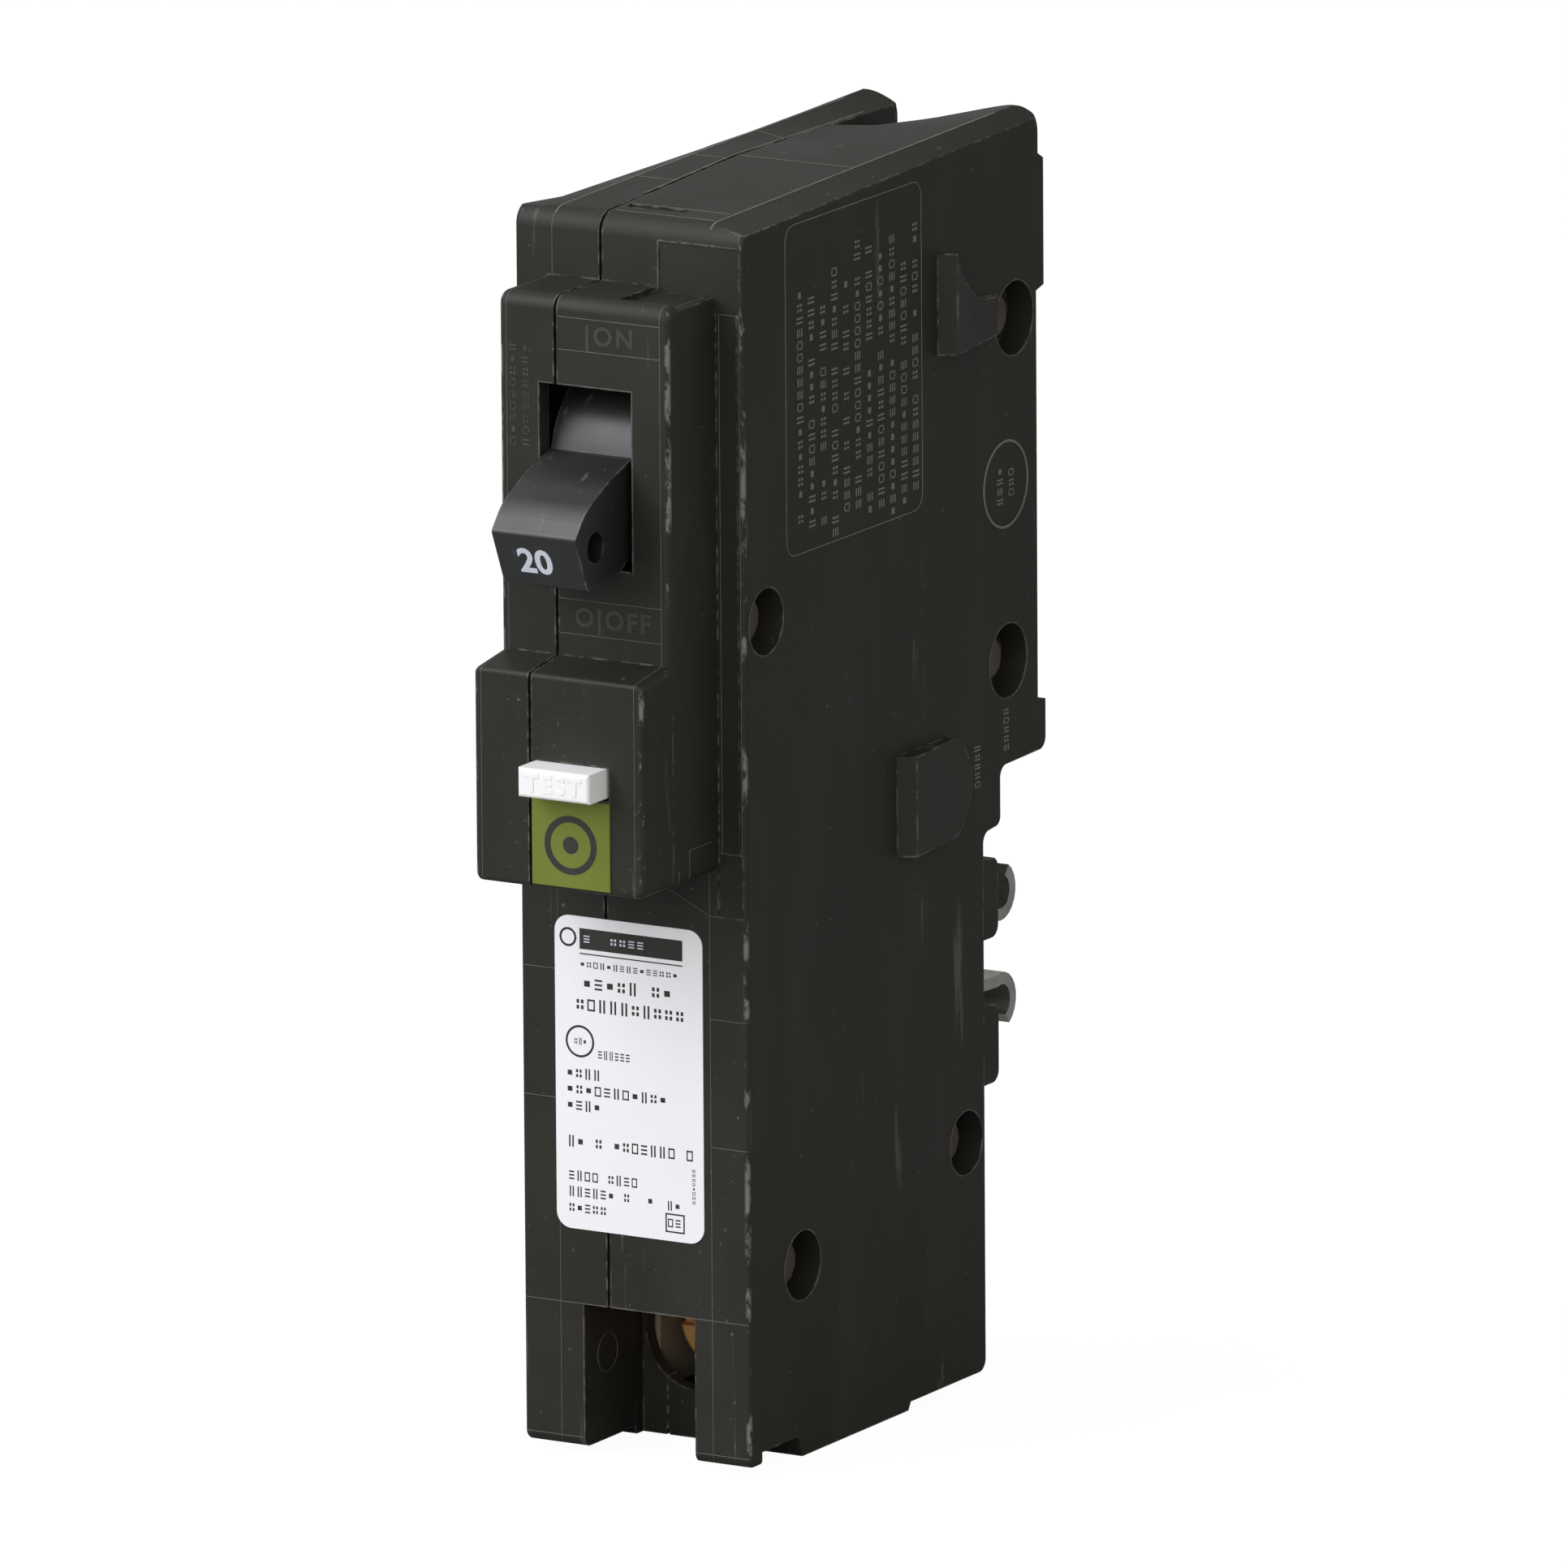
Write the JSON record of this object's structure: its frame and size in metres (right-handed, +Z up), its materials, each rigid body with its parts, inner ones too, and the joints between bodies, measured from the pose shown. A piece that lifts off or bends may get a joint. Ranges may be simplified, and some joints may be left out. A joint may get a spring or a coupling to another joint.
{
  "type": "circuit breaker",
  "caption": "Plug-on circuit breaker with a toggle handle, test button, screw load terminal, and spring jaws for line and neutral at the rear.",
  "frame": {"origin": "mouth of the line jaw, where the panel's stab enters the rear of the casing", "axes": "+X across the pole to the right, +Y to the rear towards the panel's bus bar, +Z up the length towards the line end"},
  "size_m": [0.0272, 0.0763, 0.1255],
  "materials": {
    "phenolic": "satin dark charcoal moulded plastic",
    "fibre": "grey-brown fibre board",
    "rivet_steel": "brown oxide steel",
    "handle_plastic": "satin black moulded plastic",
    "steel": "zinc plated steel",
    "copper": "bare copper",
    "silver": "silver alloy contact",
    "tin": "tin plated copper",
    "spring_steel": "spring wire",
    "bimetal": "rolled bimetal strip",
    "white_plastic": "white moulded plastic",
    "olive_ink": "yellow-green printed patch",
    "label": "white printed label",
    "bobbin_plastic": "natural nylon",
    "enamel_wire": "enamelled copper winding",
    "ferrite": "ferrite",
    "aluminium": "tin plated aluminium",
    "brass": "yellow plated steel screw",
    "board": "green circuit board",
    "chip": "black component body",
    "can": "sleeved capacitor can",
    "film": "dipped film capacitor",
    "varistor": "blue epoxy disc",
    "resistor": "resistor body",
    "wire_white": "white wire insulation",
    "header": "natural connector body"
  },
  "bodies": {
    "case": {"left_shell": "phenolic", "right_shell": "phenolic", "divider_plate": "fibre", "case_rivets": "rivet_steel", "handle_pin": "steel", "fixed_contact": "silver", "line_strap": "copper", "line_jaw": "tin", "line_jaw_clip": "spring_steel", "cradle_pin": "steel", "toggle_spring": "spring_steel", "flexible_braid": "copper", "bimetal": "bimetal", "bimetal_bracket": "steel", "calibration_screw": "steel", "magnetic_yoke": "steel", "armature_pin": "steel", "armature_spring": "spring_steel", "arc_plates": "steel", "arc_side_cards": "fibre", "test_button_spring": "spring_steel", "button_carrier": "bobbin_plastic", "test_contact": "silver", "indicator_patch": "olive_ink", "rating_label": "label", "solenoid_frame": "steel", "solenoid_bobbin": "bobbin_plastic", "solenoid_coil": "enamel_wire", "plunger_spring": "spring_steel", "sensor_core": "ferrite", "sensor_winding": "enamel_wire", "load_strap": "copper", "terminal_lug": "aluminium", "neutral_jaw": "tin", "neutral_jaw_clip": "spring_steel", "neutral_lead": "wire_white", "circuit_board": "board", "controller_chips": "chip", "capacitors": "can", "film_capacitor": "film", "varistor": "varistor", "resistors": "resistor", "trip_thyristor": "chip", "board_header": "header"},
    "handle": {"handle": "handle_plastic", "arm_pin": "steel"},
    "contact_arm": {"contact_arm": "copper", "moving_contact": "silver"},
    "cradle": {"cradle": "steel"},
    "armature": {"armature": "steel"},
    "solenoid_plunger": {"solenoid_plunger": "steel"},
    "test_button": {"test_button": "white_plastic"},
    "terminal_screw": {"terminal_screw": "brass"}
  },
  "joints": [
    {"name": "handle_toggle", "type": "hinge", "parent": "case", "child": "handle", "pos_m": [0.0007, -0.0554, -0.0155], "axis": [-1, 0, 0], "range_deg": [0, 34], "deforming": ["toggle_spring", "flexible_braid"]},
    {"name": "contact_arm_swing", "type": "hinge", "parent": "handle", "child": "contact_arm", "pos_m": [0.0004, -0.0489, -0.021], "axis": [1, 0, 0], "range_deg": [0, 51]},
    {"name": "cradle_trip", "type": "hinge", "parent": "case", "child": "cradle", "pos_m": [0.0039, -0.0239, -0.0295], "axis": [1, 0, 0], "range_deg": [0, 15]},
    {"name": "armature_tilt", "type": "hinge", "parent": "case", "child": "armature", "pos_m": [0.0025, -0.0474, -0.0565], "axis": [1, 0, 0], "range_deg": [0, 5], "stiffness_Nm_per_rad": 0.02, "deforming": ["armature_spring"]},
    {"name": "plunger_slide", "type": "slide", "parent": "case", "child": "solenoid_plunger", "axis": [0, -1, 0], "range_m": [0, 0.0022], "stiffness_N_per_m": 200, "deforming": ["plunger_spring"]},
    {"name": "test_button_press", "type": "slide", "parent": "case", "child": "test_button", "axis": [0, 1, 0], "range_m": [0, 0.0018], "stiffness_N_per_m": 400, "deforming": ["test_button_spring"]},
    {"name": "terminal_screw_turn", "type": "hinge", "parent": "case", "child": "terminal_screw", "pos_m": [0.001, -0.0421, -0.1042], "axis": [0, 1, 0], "continuous": true}
  ],
  "couplings": [
    {"joint": "contact_arm_swing", "follows": "handle_toggle", "ratio": 1.5}
  ]
}
